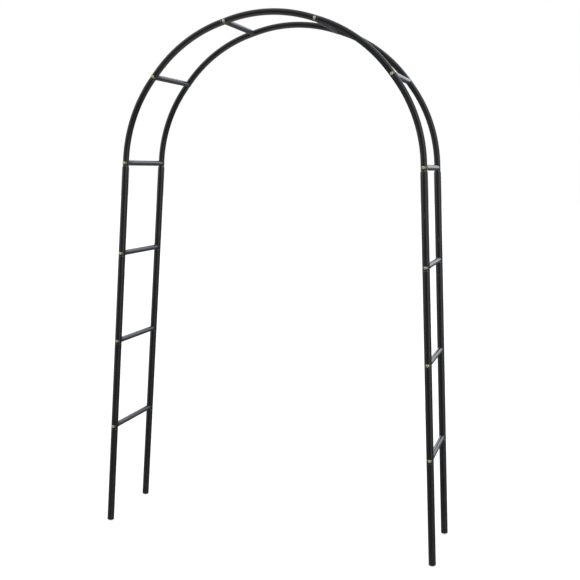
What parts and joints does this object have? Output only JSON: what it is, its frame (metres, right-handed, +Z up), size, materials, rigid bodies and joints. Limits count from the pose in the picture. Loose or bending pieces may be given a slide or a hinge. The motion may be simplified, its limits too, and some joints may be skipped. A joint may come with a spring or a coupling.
{
  "type": "metal trellis arch",
  "caption": "Free-standing garden arch of two round-tube frames joined by rungs, with straight legs that lean outwards and a round top, for climbing plants.",
  "frame": {"origin": "on the ground, midway between the four legs", "axes": "+X across the walkway to the right leg, +Y through the walkway from the front frame to the rear frame, +Z up"},
  "size_m": [1.6058, 0.4232, 2.4],
  "materials": {
    "powder_coat_tube": "satin black powder coat on steel tube",
    "powder_coat_rung": "satin black powder coat on steel tube, a little glossier than the posts",
    "zinc_screw": "zinc plated, pale yellow passivated",
    "zinc_washer": "zinc plated, pressed from strip",
    "insert_steel": "zinc plated, turned",
    "plug_plastic": "moulded black polyethylene"
  },
  "bodies": {
    "root": {"front_arch_tube_1": "powder_coat_tube", "front_arch_tube_2": "powder_coat_tube", "front_arch_tube_3": "powder_coat_tube", "front_arch_tube_4": "powder_coat_tube", "front_arch_tube_5": "powder_coat_tube", "front_left_foot_plug": "plug_plastic", "front_left_foot_tube": "powder_coat_tube", "front_left_post_tube_1": "powder_coat_tube", "front_left_post_tube_2": "powder_coat_tube", "front_left_post_tube_3": "powder_coat_tube", "front_right_foot_plug": "plug_plastic", "front_right_foot_tube": "powder_coat_tube", "front_right_post_tube_1": "powder_coat_tube", "front_right_post_tube_2": "powder_coat_tube", "front_right_post_tube_3": "powder_coat_tube", "front_saddle_washers": "zinc_washer", "front_screws": "zinc_screw", "rear_arch_tube_1": "powder_coat_tube", "rear_arch_tube_2": "powder_coat_tube", "rear_arch_tube_3": "powder_coat_tube", "rear_arch_tube_4": "powder_coat_tube", "rear_arch_tube_5": "powder_coat_tube", "rear_left_foot_plug": "plug_plastic", "rear_left_foot_tube": "powder_coat_tube", "rear_left_post_tube_1": "powder_coat_tube", "rear_left_post_tube_2": "powder_coat_tube", "rear_left_post_tube_3": "powder_coat_tube", "rear_right_foot_plug": "plug_plastic", "rear_right_foot_tube": "powder_coat_tube", "rear_right_post_tube_1": "powder_coat_tube", "rear_right_post_tube_2": "powder_coat_tube", "rear_right_post_tube_3": "powder_coat_tube", "rear_saddle_washers": "zinc_washer", "rear_screws": "zinc_screw", "rung_arch_1": "powder_coat_rung", "rung_arch_2": "powder_coat_rung", "rung_arch_3": "powder_coat_rung", "rung_arch_4": "powder_coat_rung", "rung_inserts": "insert_steel", "rung_left_1": "powder_coat_rung", "rung_left_2": "powder_coat_rung", "rung_left_3": "powder_coat_rung", "rung_left_4": "powder_coat_rung", "rung_right_1": "powder_coat_rung", "rung_right_2": "powder_coat_rung", "rung_right_3": "powder_coat_rung", "rung_right_4": "powder_coat_rung"}
  },
  "joints": []
}
